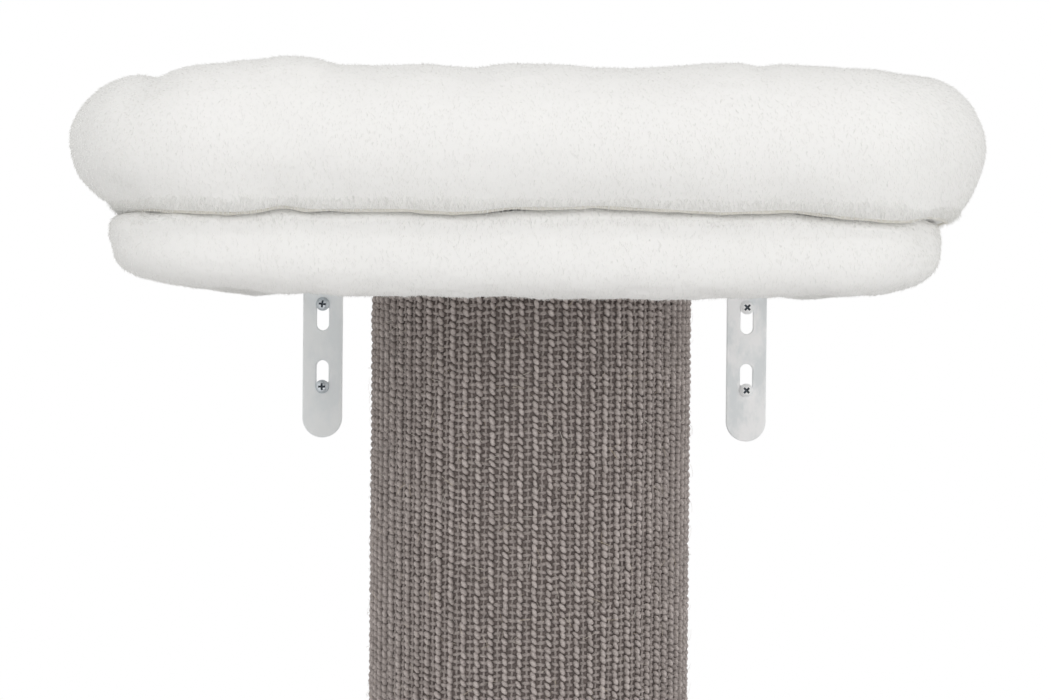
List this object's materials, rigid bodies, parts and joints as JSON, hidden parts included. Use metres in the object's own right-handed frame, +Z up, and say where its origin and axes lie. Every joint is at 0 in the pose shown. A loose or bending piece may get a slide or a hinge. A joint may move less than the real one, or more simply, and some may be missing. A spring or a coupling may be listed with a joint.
{
  "type": "wall mounted cat tree",
  "caption": "Wall mounted cat tree: a plush bed with a bolster rim on an upholstered board, held by steel angle brackets, over a trunk wrapped in woven sisal.",
  "frame": {"origin": "on the wall plane, in the middle of the four wall screws of the two upper brackets", "axes": "+Z up, +Y into the wall along the screws, +X to the right for someone who faces the wall"},
  "size_m": [0.51, 0.461, 0.9343],
  "materials": {
    "plywood": "satin",
    "foam": "matte",
    "plush": "short pile",
    "cloth": "woven",
    "bracket_coat": "powder coat",
    "zinc": "zinc plated",
    "staple_wire": "bright wire",
    "paper_tube": "wound paper",
    "sisal": "woven sisal",
    "fibreboard": "raw board",
    "disc_paint": "painted board",
    "hook_tape": "hook and loop tape"
  },
  "bodies": {
    "frame": {"platform_board": "plywood", "underside_cover": "plush", "platform_foam": "foam", "platform_cover": "plush", "cover_staples": "staple_wire", "left_bracket": "bracket_coat", "right_bracket": "bracket_coat", "lower_bracket": "bracket_coat", "bracket_screws": "zinc", "lower_bracket_screws": "zinc", "plug_screws": "zinc", "disc_screws": "zinc", "wall_screws": "zinc", "lower_wall_screws": "zinc", "trunk_bolt": "zinc", "bolt_washer": "zinc", "tee_nut": "zinc", "top_plug": "fibreboard", "bottom_plug": "fibreboard", "bottom_disc": "disc_paint", "post_tube": "paper_tube", "sisal_mat": "sisal", "mat_staples": "staple_wire", "plug_staples": "staple_wire", "hook_patches": "hook_tape"},
    "bed": {"bed_base": "cloth", "bolster": "plush", "nest_cushion": "plush", "loop_patches": "hook_tape"}
  },
  "joints": [
    {"name": "bed_lift", "type": "slide", "parent": "frame", "child": "bed", "axis": [0, 0, 1], "range_m": [0, 0.15]}
  ]
}
